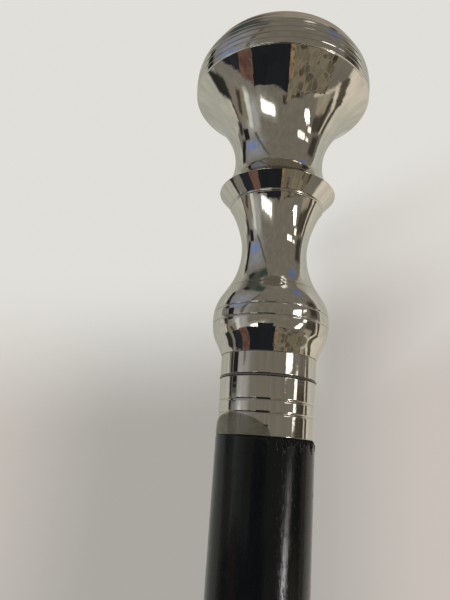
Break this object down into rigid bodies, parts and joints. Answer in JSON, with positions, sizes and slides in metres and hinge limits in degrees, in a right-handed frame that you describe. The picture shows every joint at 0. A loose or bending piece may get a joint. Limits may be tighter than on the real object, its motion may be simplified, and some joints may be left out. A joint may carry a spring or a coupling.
{
  "type": "knob handle walking stick",
  "caption": "Straight walking stick with a round turned metal knob handle that screws into a dark wooden shaft, on a rubber tip.",
  "frame": {"origin": "middle of the rubber tip's foot, on the surface that the stick is set down on", "axes": "+Z along the stick, up from the foot to the knob; the stick is round about Z, so X and Y are free"},
  "size_m": [0.0416, 0.0416, 0.93],
  "materials": {
    "handle_plating": "turned brass with polished nickel plating, warm silver, faint scratches and dulled lines",
    "brass_fittings": "plain machined brass",
    "plain_steel": "plain steel, lightly dulled",
    "fibre_washer": "black fibre washer",
    "lacquered_wood": "near-black lacquer over hardwood, satin, chipped at the shoulder",
    "tip_rubber": "black moulded rubber, matt"
  },
  "bodies": {
    "shaft": {"shaft": "lacquered_wood", "collar_sleeve": "handle_plating", "threaded_insert": "brass_fittings", "rubber_tip": "tip_rubber", "tip_washer": "plain_steel"},
    "joint_washer": {"joint_washer": "fibre_washer"},
    "handle": {"knob_cap": "handle_plating", "cap_boss": "brass_fittings", "knob_bell": "handle_plating", "flange_ring": "handle_plating", "waist_stem": "handle_plating", "ball_section": "handle_plating", "seat_ring": "handle_plating", "tie_rod": "plain_steel", "clamp_washer": "plain_steel", "lock_washer": "plain_steel", "clamp_nut": "plain_steel"}
  },
  "joints": [
    {"name": "handle_lift", "type": "slide", "parent": "shaft", "child": "joint_washer", "axis": [0, 0, 1], "range_m": [0, 0.015]},
    {"name": "handle_turn", "type": "hinge", "parent": "joint_washer", "child": "handle", "pos_m": [0, 0, 0.85], "axis": [0, 0, 1], "range_deg": [0, 4320]}
  ],
  "couplings": [
    {"joint": "handle_turn", "follows": "handle_lift", "rad_per_m": 5026.5}
  ]
}
